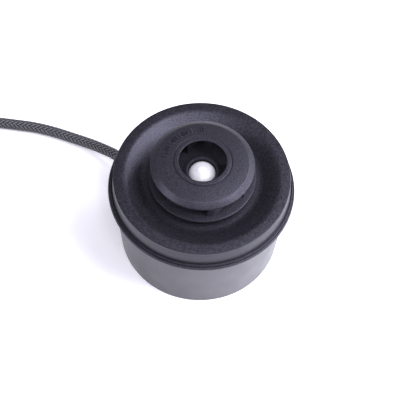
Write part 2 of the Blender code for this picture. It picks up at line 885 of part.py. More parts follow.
def make_nose():
    """A thin dome that hides the nut, its wall down in the hub's pocket."""
    rise = CAP_TOP_Z - CAP_EQUATOR_Z
    inner_r = CAP_R - CAP_WALL
    low = POCKET_FLOOR_Z + CLEAR
    outside = dome_arc(CAP_R, rise, 6)
    inside = dome_arc(inner_r, rise - CAP_WALL, 4)
    outline = [(inner_r, low), (CAP_R, low), *outside, *reversed(inside)]
    outline = [(0.0 if radius < TINY else radius, height) for radius, height in outline]
    return turned("nose_cap", outline, white_gloss("cap_gloss"), SMALL_ROUND)


def make_hub_fittings():
    """What holds the wheel on the shaft: a moulded-in bush, a washer and a nut, stacked with small gaps."""
    bore_r = SHAFT_R + CLEAR
    insert_top = POCKET_FLOOR_Z - 0.1
    washer_z = (POCKET_FLOOR_Z + CLEAR, POCKET_FLOOR_Z + 0.9)
    nut_z = (washer_z[1] + CLEAR, washer_z[1] + 2.6)
    bush = tube_outline(bore_r, 4.2, 54.8, insert_top)
    insert = turned("hub_insert", bush, brass("insert_brass"), SMALL_ROUND)
    disc = tube_outline(bore_r, 5.2, *washer_z)
    washer = turned("impeller_washer", disc, steel("washer_steel"), SMALL_ROUND)
    corners = [polar(4.5, math.tau * step / 6, 0.0) / MM for step in range(6)]
    outline = [(corner.x, corner.y) for corner in corners]
    nut = prism("impeller_nut", outline, *nut_z, steel("nut_steel"))
    hole = tube_hole(bore_r, nut_z[0] - 1.0, nut_z[1] + 1.0)
    bore = turned("nut_bore_tool", hole, steel("bore"), SMALL_ROUND)
    combine(nut, bore, "DIFFERENCE")
    return [insert, washer, nut]


# ---------------------------------------------------------------- lead


def make_gland():
    """A rubber grommet in the can's wall that tapers out along the lead."""
    wall_r = BASE_R + (CAN_TOP_R - BASE_R) * LEAD_EXIT_Z / CAN_FLANGE_Z[0]
    inner_wall_r = wall_r - 2.9
    neck_r = 4.2
    outline = [
        (0.0, GLAND_INNER_RHO),
        (4.6, GLAND_INNER_RHO),
        (5.1, GLAND_INNER_RHO + 0.6),
        (5.1, inner_wall_r - 0.4),
        (neck_r, inner_wall_r - 0.4),
        (neck_r, wall_r + 0.4),
        (6.4, wall_r + 0.4),
        (6.6, wall_r + 0.9),
        (6.6, wall_r + 2.2),
        (6.0, wall_r + 2.8),
        (5.3, wall_r + 3.2),
        (LEAD_R + 0.75, GLAND_OUTER_RHO - 0.5),
        (LEAD_R + 0.4, GLAND_OUTER_RHO),
        (0.0, GLAND_OUTER_RHO),
    ]
    gland = turned("cable_gland", outline, rubber("gland_rubber"), SMALL_ROUND)
    point_outwards(gland, LEAD_AZIMUTH, LEAD_EXIT_Z)
    return gland


def make_inner_lead():
    """The wires between the gland and their socket on the board."""
    angle = math.radians(LEAD_AZIMUTH)
    middle_z = BOARD_Z[1] + CLEAR + 2.8
    stations = (
        (GLAND_INNER_RHO - CLEAR, LEAD_EXIT_Z),
        (GLAND_INNER_RHO - 1.2, LEAD_EXIT_Z),
        (36.0, 9.6),
        (33.6, middle_z + 0.2),
        (29.5 + CLEAR, middle_z),
    )
    route = [Vector(polar(radius, angle, height)) / MM for radius, height in stations]
    look = finish("wire_insulation", (0.02, 0.02, 0.02), 0.5)
    return tube_along("inner_lead", smooth_route(route, 2.0), 1.6, look, 1)


def make_lead():
    sleeve = finish("braided_sleeve", (0.06, 0.06, 0.065), 0.5)
    pieces = [tube_along("lead", smooth_route(LEAD_ROUTE, 2.2 * LEAD_R * 2), LEAD_R, sleeve, 2)]
    inner, outer = COIL_RING
    corner = 1.6
    ring = turned("lead_coil", tube_outline(inner, outer, 0.05, 2 * LEAD_R, corner), sleeve, 32)
    ring.location = Vector((*COIL_CENTRE, 0.0)) * MM
    pieces.append(ring)
    pieces.append(tube_along("lead_tail", tail_route(), LEAD_R, sleeve, 2))
    return pieces


def tail_point(azimuth):
    angle = math.radians(azimuth)
    x, y = TAIL_BEND_CENTRE
    return Vector((x + TAIL_BEND_R * math.cos(angle), y + TAIL_BEND_R * math.sin(angle), LEAD_R))


def tail_route():
    """The bend inside the coil, and a short straight end that squares the cord to the collar."""
    start, end = TAIL_AZIMUTHS
    steps = 5
    bend = [tail_point(start + (end - start) * step / steps) for step in range(steps + 1)]
    return [*bend, bend[-1] + tail_heading() * TAIL_STRAIGHT]


def tail_heading():
    angle = math.radians(TAIL_AZIMUTHS[1] + 90.0)
    return Vector((math.cos(angle), math.sin(angle), 0.0))


def make_connector():
    """The sleeve's collar and the plug, in line with the end of the tail."""
    end = tail_route()[-1]
    heading = TAIL_AZIMUTHS[1] - 270.0
    along = tail_heading()
    collar_r = LEAD_R + 0.35
    outline = tube_hole(collar_r, 0.0, SLEEVE_END_LENGTH)
    collar = turned("sleeve_collar", outline, rubber("collar_shrink"), 16)
    collar.location = (end + along * CLEAR) * MM
    collar.location.z = (collar_r + 0.02) * MM
    collar.rotation_euler = (0.0, math.radians(90.0), math.radians(heading))
    middle = end + along * (2 * CLEAR + SLEEVE_END_LENGTH + CONNECTOR_SIZE[0] / 2)
    place = (middle.x, middle.y, CONNECTOR_SIZE[2] / 2 + 0.02)
    plug = block("lead_connector", CONNECTOR_SIZE, place, heading, black_plastic("connector_nylon"), 0.5)
    return [collar, plug]


# ---------------------------------------------------------------- assembly


def clear_scene():
    for piece in list(bpy.data.objects):
        bpy.data.objects.remove(piece, do_unlink=True)


def add_parent(name, pieces):
    """An empty on the axis that carries the pieces of one rigid body."""
    parent = bpy.data.objects.new(name, None)
    bpy.context.scene.collection.objects.link(parent)
    for piece in pieces:
        piece.parent = parent
        piece.matrix_parent_inverse = Matrix.Identity(4)


def build():
    clear_scene()
    housing = [make_can(), make_cover(), *make_base_screws(), *make_seals()]
    housing += [*make_bearing_outers(), make_stator(), *make_windings()]
    housing += [*make_board(), *make_components(), *make_phase_leads(), make_inner_lead()]
    housing += [make_gland(), *make_lead(), *make_connector()]
    rotor = [*make_shaft_set(), *make_rotor_bell(), make_wheel(), make_shroud(), make_nose()]
    rotor += make_hub_fittings()
    add_parent("housing_frame", housing)
    add_parent("rotor_axis", rotor)


build()
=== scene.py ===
"""Looks for a centrifugal fan motor unit: finer shells, a braided lead, finishes and studio light.

Lengths are in millimetres and angles in degrees unless a comment says otherwise. Heights start at
the floor, and the rotor turns about the Z axis.
"""
import json
import math

import bmesh
import bpy
import numpy as np
from mathutils import Matrix, Vector


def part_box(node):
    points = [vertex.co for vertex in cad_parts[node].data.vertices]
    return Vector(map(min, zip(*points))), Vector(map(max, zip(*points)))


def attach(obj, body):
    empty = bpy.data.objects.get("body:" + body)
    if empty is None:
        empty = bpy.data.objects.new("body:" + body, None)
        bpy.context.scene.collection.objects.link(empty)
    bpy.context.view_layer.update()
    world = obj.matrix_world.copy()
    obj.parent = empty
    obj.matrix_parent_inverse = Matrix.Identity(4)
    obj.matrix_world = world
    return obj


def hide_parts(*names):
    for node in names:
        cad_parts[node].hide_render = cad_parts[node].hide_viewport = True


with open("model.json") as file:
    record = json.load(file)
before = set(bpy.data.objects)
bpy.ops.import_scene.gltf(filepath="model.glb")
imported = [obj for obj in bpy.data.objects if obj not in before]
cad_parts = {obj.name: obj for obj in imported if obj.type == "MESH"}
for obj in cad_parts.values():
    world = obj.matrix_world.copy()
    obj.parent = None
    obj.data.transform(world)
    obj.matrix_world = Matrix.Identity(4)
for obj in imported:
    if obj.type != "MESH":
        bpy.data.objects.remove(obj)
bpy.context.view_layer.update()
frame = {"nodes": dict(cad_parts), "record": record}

MM = 0.001


def reach(node):
    """Outer radius, lowest and highest level of a round CAD node, in millimetres."""
    low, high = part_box(node)
    return high.x / MM, low.z / MM, high.z / MM


# Cover and can
CAN_FLANGE_R, _, CAN_TOP_Z = reach("motor_can")
COVER_FLANGE_R, _, RIM_Z = reach("top_cover")
RIM_R = COVER_FLANGE_R - 2.1
TROUGH_Z = RIM_Z - 4.5
FLAT_INNER_R = RIM_R - 4.4
SHOULDER_R = 5.0
HOLLOW_R = 7.0
SLOPE = 27.0
WALL_FOOT_R = RIM_R + 0.85
SPIGOT_R = 42.7
SPIGOT_INNER_R = 40.2
SPIGOT_LOW = 43.5
O_RING_GROOVE_R = 41.1
O_RING_GROOVE_Z = (45.1, 46.9)
BEARING_TUBE_R = (8.3, 10.5)
BEARING_TUBE_Z = (24.0, 50.8)
SHAFT_HOLE_R = 3.2
FLANGE_LOW = CAN_TOP_Z - 2.0
SEAT_Z = CAN_TOP_Z - 1.1
CAN_WALL_TOP_R = CAN_FLANGE_R - 2.86
CAN_WALL_LOW_R = CAN_FLANGE_R - 4.14
CAN_INNER_R = CAN_FLANGE_R - 5.2
CAN_FLOOR_Z = 3.0
CLEAR = 0.3

# Fastenings
POSTS = 4
POST_FIRST_AZIMUTH = 4.0
POST_CIRCLE_R = 36.6
POST_R = 3.2
SCREW_R = 1.5
SCREW_HEAD_R = 2.9
SCREW_HEAD_Z = (0.25, 1.3)
BOARD_BOSS_AZIMUTHS = (56.0, 176.0, 296.0)
BOARD_BOSS_CIRCLE_R = 27.0

# Impeller
DISC_R, _, _ = reach("impeller_wheel")
DISC_TOP = 58.6
SHROUD_R, SHROUD_LOW, SHROUD_TOP = reach("impeller_shroud")
SHROUD_EDGE_R = SHROUD_R - 0.2
CAP_R, CAP_LOW, CAP_TOP = reach("nose_cap")
HUB_TOP = 62.1
HUB_POCKET_Z = 57.0
CAP_EQUATOR = 58.9
CAP_BUTTON_R = 2.6
CAP_BUTTON_RISE = 0.3
VANES = 7
VANE_TIP_AZIMUTH = -81.0
VANE_R = (13.9, 24.6)
VANE_SWEEP = 52.0
VANE_THICK = 1.5
EYE_R = 11.95
THROAT_R = 16.0
LIP_R = 14.2
BEVEL_R = 23.0
BEVEL_Z = 70.0

# Lead
LEAD_R = 3.25
LEAD_AZIMUTH = 141.0
LEAD_Z = 8.7
GLAND_RHO = (38.6, 60.0)
# In metres, as in the CAD: from the gland to the edge of the view
LEAD_ROUTE = (
    (-0.04686, 0.03795, 0.00870),
    (-0.04842, 0.03921, 0.00870),
    (-0.05280, 0.04250, 0.00775),
    (-0.06190, 0.04790, 0.00560),
    (-0.06950, 0.05150, 0.00425),
    (-0.07850, 0.05490, 0.00345),
    (-0.09000, 0.05855, 0.00325),
    (-0.10250, 0.06125, 0.00325),
    (-0.11550, 0.06260, 0.00325),
    (-0.12900, 0.06370, 0.00325),
    (-0.14160, 0.06460, 0.00325),
    (-0.15300, 0.06500, 0.00325),
)
COIL_CENTRE = (-165.0, 26.0)
COIL_START_R = 39.0
COIL_STEP = 6.8
COIL_AZIMUTHS = (90.0, 522.0)
TAIL_CENTRE = (-175.3, 29.35)
TAIL_R = 20.0
TAIL_AZIMUTHS = (162.0, 300.0)
TAIL_STRAIGHT = 1.5
COLLAR_LENGTH = 8.0
CARRIERS = 8
FILAMENTS = 3
BRAID_PITCH = 21.6
YARN_DEPTH = 0.38
YARN_SWING = 0.2
FILAMENT_THICK = 0.36
CORE_R = LEAD_R - 0.72

# Studio, with places and sizes in metres
CAMERA_PLACE = (0.0, -0.2148, 0.4049)
CAMERA_ANGLES = (29.93, -1.455, 2.581)
CAMERA_LENS = 72.6
CAMERA_SHIFT_X = -0.0009
FLOOR_HALF = 4.0
FLOOR_GLOW = 0.24
SOFTBOX_COLOUR = (0.905, 0.895, 1.0)
AIM_HEIGHT = 0.05
WORLD_COLOUR = (0.91, 0.905, 1.0)
WORLD_STRENGTH = 0.22
# Name, azimuth, elevation, distance, size and radiance
SOFTBOXES = (
    ("key", -8.0, 56.0, 0.95, (0.5, 0.38), 15.5),
    ("front", -85.0, 69.0, 1.0, (0.35, 0.25), 13.0),
    ("back_right", 34.0, 35.0, 1.0, (0.4, 0.3), 13.0),
    ("overhead", 36.0, 72.0, 1.0, (0.4, 0.3), 3.6),
    ("left", -158.0, 43.0, 0.9, (0.45, 0.1), 21.0),
    ("right_low", -12.0, 14.0, 0.5, (0.45, 0.15), 17.0),
)


# ---------------------------------------------------------------- finishes


def new_finish(name):
    """A material with a Principled shader, and the coordinates of the piece in metres."""
    look = bpy.data.materials.new(name)
    look.use_nodes = True
    tree = look.node_tree
    place = tree.nodes.new("ShaderNodeTexCoord").outputs["Object"]
    return look, tree, tree.nodes["Principled BSDF"], place


def noise(tree, place, grain, detail=2.0, rough=0.5, stretch=None):
    """Noise whose features are about grain millimetres across."""
    if stretch is not None:
        mapping = tree.nodes.new("ShaderNodeMapping")
        mapping.inputs["Scale"].default_value = stretch
        tree.links.new(place, mapping.inputs["Vector"])
        place = mapping.outputs["Vector"]
    texture = tree.nodes.new("ShaderNodeTexNoise")
    texture.inputs["Scale"].default_value = 1.0 / (grain * MM)
    texture.inputs["Detail"].default_value = detail
    texture.inputs["Roughness"].default_value = rough
    tree.links.new(place, texture.inputs["Vector"])
    return texture.outputs["Fac"]


def spread(tree, value, low, high, start=0.3, end=0.7):
    """Maps a noise value to the range from low to high."""
    node = tree.nodes.new("ShaderNodeMapRange")
    node.inputs["From Min"].default_value = start
    node.inputs["From Max"].default_value = end
    node.inputs["To Min"].default_value = low
    node.inputs["To Max"].default_value = high
    tree.links.new(value, node.inputs["Value"])
    return node.outputs["Result"]


def tint(tree, value, dark, light, start=0.3, end=0.7):
    """Maps a noise value to a blend of two colours."""
    ramp = tree.nodes.new("ShaderNodeValToRGB")
    ramp.color_ramp.elements[0].position = start
    ramp.color_ramp.elements[0].color = (*dark, 1.0)
    ramp.color_ramp.elements[1].position = end
    ramp.color_ramp.elements[1].color = (*light, 1.0)
    tree.links.new(value, ramp.inputs["Fac"])
    return ramp.outputs["Color"]


def relief(tree, value, depth, strength=1.0, under=None):
    """A bump of depth millimetres."""
    bump = tree.nodes.new("ShaderNodeBump")
    bump.inputs["Distance"].default_value = depth * MM
    bump.inputs["Strength"].default_value = strength
    tree.links.new(value, bump.inputs["Height"])
    if under is not None:
        tree.links.new(under, bump.inputs["Normal"])
    return bump.outputs["Normal"]


def shade(colour, factor):
    return tuple(min(1.0, channel * factor) for channel in colour)


BLACK = (0.0125, 0.0120, 0.0150)
PLASTIC_TINT = (0.82, 0.80, 1.0, 1.0)
NO_TINT = (1.0, 1.0, 1.0, 1.0)


def moulded(name, colour, roughness, grain, depth, contrast, sheen_tint=NO_TINT, sparkle=0.0, shine=0.5):
    """Moulded plastic: fine texture in the relief, the gloss and the colour, and broad flow marks.

    grain and depth are the texture's size in millimetres, contrast is how far the colour varies, and
    sparkle is how far the shine varies.
    """
    look, tree, shader, place = new_finish(name)
    fine = noise(tree, place, grain, 3.0, 0.6)
    glints = spread(tree, fine, shine - sparkle, shine + sparkle)
    tree.links.new(glints, shader.inputs["Specular IOR Level"])
    broad = noise(tree, place, grain * 40.0, 2.0)
    tree.links.new(tint(tree, fine, shade(colour, 1 - contrast), shade(colour, 1 + contrast)),
                   shader.inputs["Base Color"])
    gloss = tree.nodes.new("ShaderNodeMath")
    gloss.operation = "ADD"
    tree.links.new(spread(tree, fine, roughness - 0.06, roughness + 0.06), gloss.inputs[0])
    tree.links.new(spread(tree, broad, -0.02, 0.03), gloss.inputs[1])
    tree.links.new(gloss.outputs["Value"], shader.inputs["Roughness"])
    tree.links.new(relief(tree, fine, depth), shader.inputs["Normal"])
    shader.inputs["Specular Tint"].default_value = sheen_tint
    return look


def can_satin():
    return moulded("can_satin", shade(BLACK, 1.1), 0.33, 0.25, 0.004, 0.12, PLASTIC_TINT, 0.02, 0.37)


def cover_spark():
    return moulded("cover_spark", shade(BLACK, 0.75), 0.42, 0.7, 0.08, 0.45, PLASTIC_TINT, 0.24)


def flange_spark():
    return moulded("flange_spark", BLACK, 0.6, 0.7, 0.08, 0.5, PLASTIC_TINT, 0.25)


def impeller_black():
    return moulded("impeller_black", shade(BLACK, 1.5), 0.38, 0.65, 0.05, 0.35, PLASTIC_TINT, 0.13, 0.36)


def nose_white():
    look, tree, shader, place = new_finish("nose_white")
    cloud = noise(tree, place, 3.0)
    speck = noise(tree, place, 0.3, 3.0)
    tree.links.new(tint(tree, cloud, (0.61, 0.605, 0.615), (0.67, 0.667, 0.675)), shader.inputs["Base Color"])
    tree.links.new(spread(tree, speck, 0.30, 0.38), shader.inputs["Roughness"])
    tree.links.new(relief(tree, cloud, 0.01), shader.inputs["Normal"])
    shader.inputs["Coat Weight"].default_value = 0.12
    shader.inputs["Coat Roughness"].default_value = 0.14
    return look


def rubber_black():
    return moulded("rubber_black", (0.020, 0.020, 0.021), 0.66, 0.3, 0.012, 0.3)


def metal(name, colour, roughness, grain, stretch, contrast=0.12):
    """Metal with fine machining marks along one direction and a patchy gloss."""
    look, tree, shader, place = new_finish(name)
    marks = noise(tree, place, grain, 4.0, 0.6, stretch)
    patch = noise(tree, place, grain * 12.0, 2.0)
    tree.links.new(tint(tree, patch, shade(colour, 1 - contrast), shade(colour, 1 + contrast)),
                   shader.inputs["Base Color"])
    tree.links.new(spread(tree, marks, roughness - 0.08, roughness + 0.1), shader.inputs["Roughness"])
    tree.links.new(relief(tree, marks, 0.004), shader.inputs["Normal"])
    shader.inputs["Metallic"].default_value = 1.0
    return look


def steel():
    return metal("steel", (0.56, 0.56, 0.575), 0.28, 0.4, (1.0, 1.0, 6.0))


def brass():
    return metal("brass", (0.74, 0.55, 0.26), 0.27, 0.4, (1.0, 1.0, 6.0))


def capacitor_can():
    return metal("capacitor_can", (0.74, 0.74, 0.76), 0.24, 0.3, (1.0, 1.0, 5.0), 0.06)


def enamelled_copper():
    """Round wires side by side under a clear enamel."""
    look, tree, shader, place = new_finish("enamelled_copper")
    wires = tree.nodes.new("ShaderNodeTexWave")
    wires.bands_direction = "Z"
    wires.inputs["Scale"].default_value = 480.0
    wires.inputs["Distortion"].default_value = 0.6
    tree.links.new(place, wires.inputs["Vector"])
    lines = wires.outputs["Fac"]
    # The copper runs dark in the creases between wires and light on their crowns: painted shade over the
    # wires' bumps.
    tree.links.new(tint(tree, lines, (0.30, 0.10, 0.045), (0.74, 0.31, 0.15), 0.1, 0.8),
                   shader.inputs["Base Color"])
    tree.links.new(spread(tree, noise(tree, place, 0.8), 0.24, 0.36), shader.inputs["Roughness"])
    tree.links.new(relief(tree, lines, 0.12), shader.inputs["Normal"])
    shader.inputs["Metallic"].default_value = 1.0
    shader.inputs["Coat Weight"].default_value = 0.5
    return look


def ferrite():
    return moulded("ferrite", (0.055, 0.054, 0.055), 0.62, 0.35, 0.02, 0.35)


def board_green():
    """Green solder mask over glass cloth, whose weave shows faintly."""
    look, tree, shader, place = new_finish("board_green")
    weave = tree.nodes.new("ShaderNodeTexChecker")
    weave.inputs["Scale"].default_value = 1600.0
    tree.links.new(place, weave.inputs["Vector"])
    cloud = noise(tree, place, 2.5)
    mask = tint(tree, cloud, (0.014, 0.105, 0.042), (0.026, 0.15, 0.062))
    tree.links.new(mask, shader.inputs["Base Color"])
    tree.links.new(relief(tree, weave.outputs["Fac"], 0.01), shader.inputs["Normal"])
    tree.links.new(spread(tree, cloud, 0.26, 0.36), shader.inputs["Roughness"])
    return look


def chip_epoxy():
    return moulded("chip_epoxy", (0.019, 0.019, 0.020), 0.52, 0.16, 0.01, 0.3)


def socket_nylon():
    return moulded("socket_nylon", (0.74, 0.71, 0.62), 0.42, 0.5, 0.008, 0.04)


def phase_insulation():
    return moulded("phase_insulation", (0.42, 0.028, 0.02), 0.42, 0.5, 0.008, 0.1)


def wire_black():
    return moulded("wire_black", (0.02, 0.02, 0.021), 0.42, 0.5, 0.008, 0.2)


def connector_nylon():
    return moulded("connector_nylon", (0.022, 0.022, 0.024), 0.42, 0.4, 0.012, 0.2)


def filament(name, colour, roughness):
    """Drawn polyester: gloss that varies along each strand."""
    look, tree, shader, place = new_finish(name)
    mottle = noise(tree, place, 0.9, 3.0)
    scuff = noise(tree, place, 6.0, 2.0)
    tree.links.new(tint(tree, mottle, shade(colour, 0.7), shade(colour, 1.3)), shader.inputs["Base Color"])
    tree.links.new(spread(tree, scuff, roughness - 0.06, roughness + 0.1), shader.inputs["Roughness"])
    tree.links.new(relief(tree, mottle, 0.01), shader.inputs["Normal"])
    return look


def braided_sleeve():
    return filament("braided_sleeve", (0.009, 0.009, 0.011), 0.34)


def tracer_and_glint_strand():
    # A grey filament, one in every yarn: partly a tracer, partly a painted highlight for the glints of the
    # glossy black braid.
    return filament("tracer_and_glint_strand", (0.13, 0.13, 0.14), 0.4)


FINISHES = {
    maker.__name__: maker()
    for maker in (
        can_satin, cover_spark, impeller_black, nose_white, rubber_black, steel, brass, enamelled_copper,
        ferrite, board_green, chip_epoxy, socket_nylon, capacitor_can, phase_insulation, wire_black,
        braided_sleeve, connector_nylon, flange_spark,
    )
}


# ---------------------------------------------------------------- shapes


def polar(radius, azimuth, height=0.0):
    """A point in millimetres from a radius, an azimuth in degrees and a height."""
    angle = math.radians(azimuth)
    return Vector((radius * math.cos(angle), radius * math.sin(angle), height))


def arc(centre, radius, start, end, steps):
    points = []
    for step in range(steps + 1):
        angle = math.radians(start + (end - start) * step / steps)
        points.append((centre[0] + radius * math.cos(angle), centre[1] + radius * math.sin(angle)))
    return points


def rounded(corners, closed=True):
    """An outline whose corners (x, y, radius) become arcs; a corner with no radius stays sharp."""
    outline = []
    count = len(corners)
    for index, corner in enumerate(corners):
        here = Vector(corner[:2])
        radius = corner[2] if len(corner) > 2 else 0.0
        if radius <= 0.0:
            outline.append((here.x, here.y))
            continue
        before = Vector(corners[index - 1][:2]) - here
        after = Vector(corners[(index + 1) % count][:2]) - here
        towards = before.normalized()
        away = after.normalized()
        half = towards.angle(away) / 2.0
        setback = radius / math.tan(half)
        limit = 0.49 * min(before.length, after.length)
        if setback > limit:
            setback = limit
            radius = setback * math.tan(half)
        centre = here + (towards + away).normalized() * radius / math.sin(half)
        first = here + towards * setback - centre
        last = here + away * setback - centre
        turn = first.angle_signed(last)
        steps = max(2, math.ceil(abs(math.degrees(turn)) / 15.0))
        for step in range(steps + 1):
            point = centre + Matrix.Rotation(-turn * step / steps, 2) @ first
            outline.append((point.x, point.y))
    return outline


def close_mesh(name, bm):
    bmesh.ops.recalc_face_normals(bm, faces=bm.faces)
    if bm.calc_volume(signed=True) < 0.0:
        bmesh.ops.reverse_faces(bm, faces=bm.faces)
    mesh = bpy.data.meshes.new(name)
    bm.to_mesh(mesh)
    bm.free()
    return mesh


def soften(mesh, angle=30.0):
    mesh.shade_smooth()
    mesh.set_sharp_from_angle(angle=math.radians(angle))


def add_piece(name, mesh, finish=None, angle=30.0):
    if finish is not None:
        mesh.materials.append(FINISHES[finish])
    soften(mesh, angle)
    piece = bpy.data.objects.new(name, mesh)
    bpy.context.scene.collection.objects.link(piece)
    return piece


def turned(name, outline, finish, segments=192):
    """A closed outline of (radius, height) turned about Z."""
    bm = bmesh.new()
    rings = []
    for radius, height in outline:
        count = 1 if radius < 1e-4 else segments
        ring = [bm.verts.new(polar(radius, 360.0 * step / segments, height) * MM) for step in range(count)]
        rings.append(ring)
    for ring, following in zip(rings, rings[1:] + rings[:1]):
        for step in range(segments):
            after = (step + 1) % segments
            corners = (
                ring[step % len(ring)],
                ring[after % len(ring)],
                following[after % len(following)],
                following[step % len(following)],
            )
            distinct = list(dict.fromkeys(corners))
            if len(distinct) > 2:
                bm.faces.new(distinct)
    return add_piece(name, close_mesh(name, bm), finish)


def layered(name, outlines, finish, angle=30.0):
    """A solid through closed outlines of equal length, each a list of (x, y, z) in millimetres."""
    bm = bmesh.new()
    rows = [[bm.verts.new(Vector(point) * MM) for point in outline] for outline in outlines]
    bm.faces.new(rows[0])
    bm.faces.new(rows[-1])
    for row, following in zip(rows, rows[1:]):
        for index in range(len(row)):
            after = (index + 1) % len(row)
            bm.faces.new((row[index], row[after], following[after], following[index]))
    return add_piece(name, close_mesh(name, bm), finish, angle)


def upright(name, outline, low, high, finish, edge=0.0):
    """A prism over an outline of (x, y), its two ends drawn in by a small edge."""
    levels = [(low, 0.0), (high, 0.0)]
    if edge:
        levels = [(low, edge), (low + edge, 0.0), (high - edge, 0.0), (high, edge)]
    centre = sum((Vector(point) for point in outline), Vector((0.0, 0.0))) / len(outline)
    rows = []
    for height, inset in levels:
        row = []
        for point in outline:
            out = Vector(point) - centre
            moved = centre + out * (1.0 - inset / max(out.length, 1e-6))
            row.append((moved.x, moved.y, height))
        rows.append(row)
    return layered(name, rows, finish)


def bake_shape(piece, angle=30.0):
    """Applies the piece's modifiers to its own mesh."""
    bpy.context.view_layer.update()
    graph = bpy.context.evaluated_depsgraph_get()
    mesh = bpy.data.meshes.new_from_object(piece.evaluated_get(graph))
    piece.modifiers.clear()
    piece.data = mesh
    soften(mesh, angle)


def combine(piece, tools, operation):
    """Boolean of the piece with each tool, which is then removed."""
    for tool in tools:
        boolean = piece.modifiers.new(tool.name, "BOOLEAN")
        boolean.operation = operation
        boolean.object = tool
        boolean.solver = "EXACT"
    bake_shape(piece)
    for tool in tools:
        bpy.data.objects.remove(tool)


def lay_out(piece, azimuth, height):
    """Points a piece that was turned about Z along a level ray from the Z axis."""
    turn = Matrix.Rotation(math.radians(azimuth), 4, "Z") @ Matrix.Rotation(math.radians(90.0), 4, "Y")
    piece.data.transform(Matrix.Translation((0.0, 0.0, height * MM)) @ turn)


def shift(piece, offset):
    piece.data.transform(Matrix.Translation(Vector(offset) * MM))


def zone(piece, finish, test):
    """Gives another finish to the faces whose centre (radius, height) in millimetres passes a test."""
    piece.data.materials.append(FINISHES[finish])
    index = len(piece.data.materials) - 1
    for face in piece.data.polygons:
        centre = face.center / MM
        if test(centre.xy.length, centre.z):
            face.material_index = index


def settle(piece, body, slot, *nodes):
    """The piece stands for CAD nodes, which it hides, and moves with a body; slot is not used."""
    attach(piece, body)
    if nodes:
        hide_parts(*nodes)
    return piece


# ---------------------------------------------------------------- housing


def post_azimuths():
    return [POST_FIRST_AZIMUTH + 360.0 * index / POSTS for index in range(POSTS)]


def dish():
    """The cover's top from the trough floor to the flat ring: a hollow arc, a cone, then a shoulder."""
    turn = math.radians(SLOPE)
    arcs_r = SHOULDER_R + HOLLOW_R
    cone_drop = RIM_Z - TROUGH_Z - arcs_r * (1.0 - math.cos(turn))
    start_r = FLAT_INNER_R - arcs_r * math.sin(turn) - cone_drop / math.tan(turn)
    hollow = arc((start_r, TROUGH_Z + HOLLOW_R), HOLLOW_R, -90.0, -90.0 + SLOPE, 12)
    shoulder = arc((FLAT_INNER_R, RIM_Z - SHOULDER_R), SHOULDER_R, 90.0 + SLOPE, 90.0, 10)
    return hollow + shoulder[1:]


def make_cover():
    """The dished cover with its spigot, the bearing tube and the posts that take the screws."""
    ridge_z = SEAT_Z + 1.4
    edge_z = RIM_Z - 1.0
    groove_low, groove_high = O_RING_GROOVE_Z
    bearing_r, tube_r = BEARING_TUBE_R
    tube_low, tube_high = BEARING_TUBE_Z
    seal_r = 6.0
    seal_seat_z = TROUGH_Z - 2.3
    top = rounded([
        (SHAFT_HOLE_R, seal_seat_z),
        (seal_r, seal_seat_z),
        (seal_r, TROUGH_Z, 0.3),
        (seal_r + 1.0, TROUGH_Z),
    ])
    side = rounded([
        (FLAT_INNER_R + 0.2, RIM_Z),
        (RIM_R, RIM_Z, 0.85),
        (RIM_R, edge_z + 0.02, 0.05),
        (RIM_R - 0.14, edge_z, 0.06),
        (RIM_R - 0.1, edge_z - 0.3, 0.3),
        (WALL_FOOT_R, ridge_z + 1.0, 0.3),
        (WALL_FOOT_R - 0.15, ridge_z - 0.55, 0.3),
        (RIM_R + 1.35, ridge_z - 0.6, 0.2),
        (RIM_R + 1.45, ridge_z, 0.12),
        (COVER_FLANGE_R - 0.25, ridge_z, 0.2),
        (COVER_FLANGE_R, ridge_z - 0.35, 0.15),
        (COVER_FLANGE_R, SEAT_Z + 0.3),
        (SPIGOT_R, SEAT_Z + 0.3),
        (SPIGOT_R, groove_high),
        (O_RING_GROOVE_R, groove_high),
        (O_RING_GROOVE_R, groove_low),
        (SPIGOT_R, groove_low),
        (SPIGOT_R, SPIGOT_LOW, 0.4),
        (SPIGOT_INNER_R, SPIGOT_LOW, 0.4),
        (SPIGOT_INNER_R, 49.0),
        (42.6, 50.2, 0.6),
        (42.6, RIM_Z - 2.4, 0.8),
        (39.6, RIM_Z - 2.4, 1.0),
        (36.0, TROUGH_Z - 1.0),
        (30.0, TROUGH_Z - 2.4),
        (tube_r, TROUGH_Z - 2.4, 0.6),
        (tube_r, tube_low),
        (bearing_r, tube_low),
        (bearing_r, tube_high),
        (SHAFT_HOLE_R, tube_high),
    ])
    cover = turned("cover_shell", top[:-1] + dish() + side[1:], "cover_spark")
    posts = []
    foot = CAN_FLOOR_Z + CLEAR
    head = RIM_Z - 4.1
    pilot_r = SCREW_R + CLEAR
    outline = rounded([
        (pilot_r, foot),
        (POST_R, foot, 0.3),
        (POST_R, head),
        (0.0, head),
        (0.0, foot + 14.0),
        (pilot_r, foot + 13.4),
    ])
    for azimuth in post_azimuths():
        post = turned("post_tool", outline, "cover_spark", 24)
        shift(post, polar(POST_CIRCLE_R, azimuth))
        posts.append(post)
    combine(cover, posts, "UNION")
    zone(cover, "can_satin", lambda radius, height: radius > RIM_R - 0.75 and height > ridge_z + 0.5)
    zone(cover, "flange_spark", lambda radius, height: radius > RIM_R and SEAT_Z < height < ridge_z + 0.5)
    return settle(cover, "housing", "cover_spark", "top_cover")


